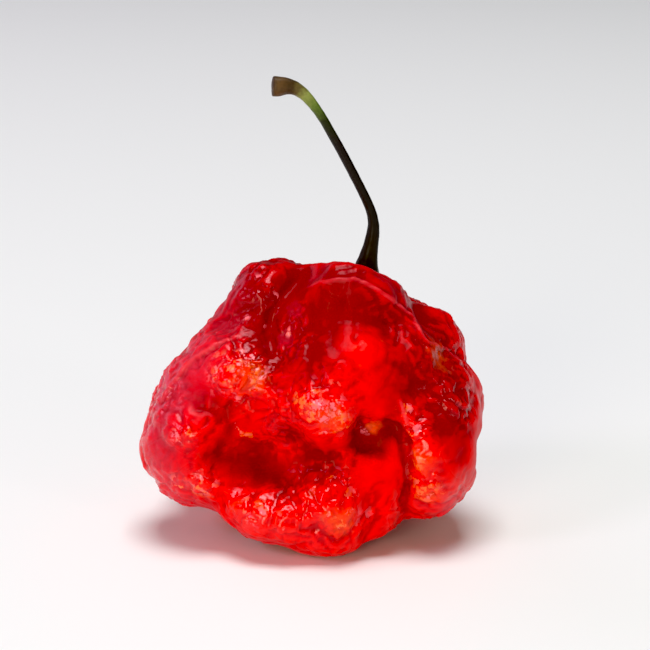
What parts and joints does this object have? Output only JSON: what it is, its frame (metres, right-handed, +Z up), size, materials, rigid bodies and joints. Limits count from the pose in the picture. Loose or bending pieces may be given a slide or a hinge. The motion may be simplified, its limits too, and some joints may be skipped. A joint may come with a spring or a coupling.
{
  "type": "chili pepper",
  "caption": "Ripe red superhot chili pod with a lumpy, deeply folded glossy skin, standing on its low lobes under a thin curved stem.",
  "frame": {"origin": "middle of the pepper's box on the surface that it stands on", "axes": "+Z up through the stem, +X to the right and -Y towards the viewer as the picture shows it"},
  "size_m": [0.0456, 0.0348, 0.06],
  "materials": {
    "pod": "glossy, waxy, wrinkled red pepper skin",
    "stem": "fibrous dark green-brown stalk with a dull skin"
  },
  "bodies": {
    "root": {"pod": "pod", "stem": "stem"}
  },
  "joints": []
}
